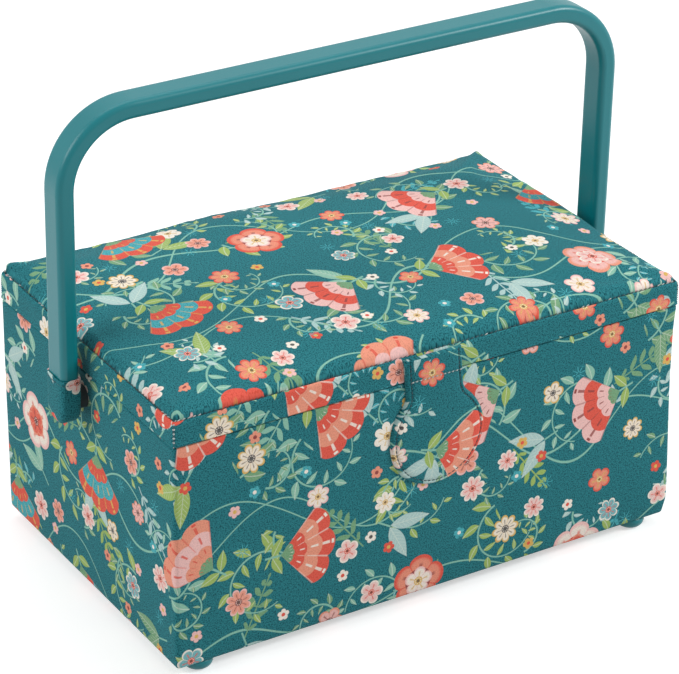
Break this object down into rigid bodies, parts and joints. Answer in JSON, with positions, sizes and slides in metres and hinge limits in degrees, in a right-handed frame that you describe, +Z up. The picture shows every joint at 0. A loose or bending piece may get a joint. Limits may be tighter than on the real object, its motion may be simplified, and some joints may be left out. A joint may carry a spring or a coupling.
{
  "type": "sewing box",
  "caption": "Rectangular fabric-covered sewing box with a padded hinged lid, magnetic closure tab, folding bail handle, button feet and an organiser tray inside",
  "frame": {"origin": "middle of the footprint, on the surface that the feet stand on", "axes": "+X to the right along the length, seen from the front; +Y from the closure tab to the hinge at the back; +Z up"},
  "size_m": [0.338, 0.1926, 0.2787],
  "materials": {
    "printed_cloth": "woven cotton with a printed flower pattern, matt",
    "lining_cloth": "plain woven cotton, matt",
    "cushion_cloth": "brushed cotton, matt",
    "wadding": "polyester wadding",
    "board": "raw fibreboard",
    "handle_plastic": "moulded, satin",
    "tray_plastic": "moulded, satin",
    "spacer_plastic": "moulded, matt",
    "steel": "nickel plated"
  },
  "bodies": {
    "box_body": {"base_board": "board", "front_board": "board", "back_board": "board", "left_end_board": "board", "right_end_board": "board", "body_cover": "printed_cloth", "base_cloth": "lining_cloth", "body_lining": "lining_cloth", "feet": "handle_plastic", "foot_screws": "steel", "body_magnet": "steel", "tray_ledges": "board", "tray": "tray_plastic", "pivot_screws": "steel", "pivot_spacers": "spacer_plastic", "pivot_nuts": "steel", "hinge_tape_body": "lining_cloth"},
    "lid": {"lid_board": "board", "lid_front_rail": "board", "lid_back_rail": "board", "lid_left_rail": "board", "lid_right_rail": "board", "lid_wadding": "wadding", "lid_top_cover": "printed_cloth", "lid_band_cover": "printed_cloth", "lid_lining": "lining_cloth", "pincushion": "cushion_cloth", "hinge_tape_lid": "lining_cloth"},
    "closure_tab": {"tab_back": "printed_cloth", "tab_interlining": "wadding", "tab_front": "printed_cloth", "tab_magnet": "steel"},
    "handle": {"handle_hoop": "handle_plastic", "handle_sleeve_left": "printed_cloth", "handle_sleeve_right": "printed_cloth"}
  },
  "joints": [
    {"name": "lid_hinge", "type": "hinge", "parent": "box_body", "child": "lid", "pos_m": [0, 0.0952, 0.1333], "axis": [-1, 0, 0], "range_deg": [0, 100]},
    {"name": "handle_fold", "type": "hinge", "parent": "box_body", "child": "handle", "pos_m": [0, 0, 0.1193], "axis": [-1, 0, 0], "range_deg": [0, 93]},
    {"name": "tab_lift", "type": "hinge", "parent": "lid", "child": "closure_tab", "pos_m": [0, -0.0945, 0.1467], "axis": [-1, 0, 0], "range_deg": [0, 110]}
  ],
  "couplings": [
    {"joint": "handle_fold", "follows": "lid_hinge", "ratio": 0.93}
  ]
}
